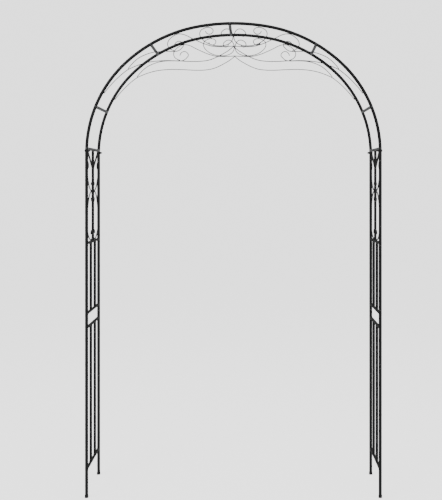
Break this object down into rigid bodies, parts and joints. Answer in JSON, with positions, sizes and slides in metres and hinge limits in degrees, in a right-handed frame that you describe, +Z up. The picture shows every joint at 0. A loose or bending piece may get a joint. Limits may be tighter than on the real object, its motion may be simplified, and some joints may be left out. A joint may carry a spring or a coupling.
{
  "type": "garden trellis arch",
  "caption": "Free-standing black steel garden arch: two tube hoops on legs with open side panels, crossbars and a scrolled wire crest.",
  "frame": {"origin": "centre of the footprint at ground level, midway between the four foot caps' undersides", "axes": "+X to the right across the walkway seen from the front, +Y from the front hoop to the rear hoop, +Z up"},
  "size_m": [1.4666, 0.3848, 2.34],
  "materials": {
    "black_coat": "satin black powder coat over steel tube",
    "grey_coat": "dark grey powder coat, satin",
    "bolt_steel": "black zinc plated, dull",
    "nut_black": "black cap nuts, satin",
    "spigot_steel": "bare drawn steel, hidden inside the tubes",
    "cap_rubber": "matt black rubber"
  },
  "bodies": {
    "root": {"front_left_half_hoop": "black_coat", "front_right_half_hoop": "black_coat", "rear_left_half_hoop": "black_coat", "rear_right_half_hoop": "black_coat", "apex_crossbar": "grey_coat", "left_haunch_crossbar": "grey_coat", "right_haunch_crossbar": "grey_coat", "left_shoulder_crossbar": "grey_coat", "right_shoulder_crossbar": "grey_coat", "left_panel_crossbar": "grey_coat", "right_panel_crossbar": "grey_coat", "front_left_crest_sweep": "black_coat", "front_right_crest_sweep": "black_coat", "rear_left_crest_sweep": "black_coat", "rear_right_crest_sweep": "black_coat", "front_left_crest_branch": "black_coat", "front_right_crest_branch": "black_coat", "rear_left_crest_branch": "black_coat", "rear_right_crest_branch": "black_coat", "front_left_s_scroll": "black_coat", "front_right_s_scroll": "black_coat", "rear_left_s_scroll": "black_coat", "rear_right_s_scroll": "black_coat", "front_left_heart_scroll": "black_coat", "front_right_heart_scroll": "black_coat", "rear_left_heart_scroll": "black_coat", "rear_right_heart_scroll": "black_coat", "front_left_upper_post": "black_coat", "front_right_upper_post": "black_coat", "rear_left_upper_post": "black_coat", "rear_right_upper_post": "black_coat", "front_left_lower_post": "black_coat", "front_right_lower_post": "black_coat", "rear_left_lower_post": "black_coat", "rear_right_lower_post": "black_coat", "left_lower_rails": "black_coat", "right_lower_rails": "black_coat", "left_upper_rails": "black_coat", "right_upper_rails": "black_coat", "left_lower_bars": "black_coat", "right_lower_bars": "black_coat", "left_upper_bars": "black_coat", "right_upper_bars": "black_coat", "left_centre_bar": "black_coat", "right_centre_bar": "black_coat", "left_flared_bars": "black_coat", "right_flared_bars": "black_coat", "front_left_panel_scrolls": "black_coat", "front_right_panel_scrolls": "black_coat", "rear_left_panel_scrolls": "black_coat", "rear_right_panel_scrolls": "black_coat", "apex_spigots": "spigot_steel", "hoop_spigots": "spigot_steel", "leg_spigots": "spigot_steel", "crossbar_bolts": "bolt_steel", "leg_bolts": "bolt_steel", "cap_nuts": "nut_black", "foot_caps": "cap_rubber"}
  },
  "joints": []
}
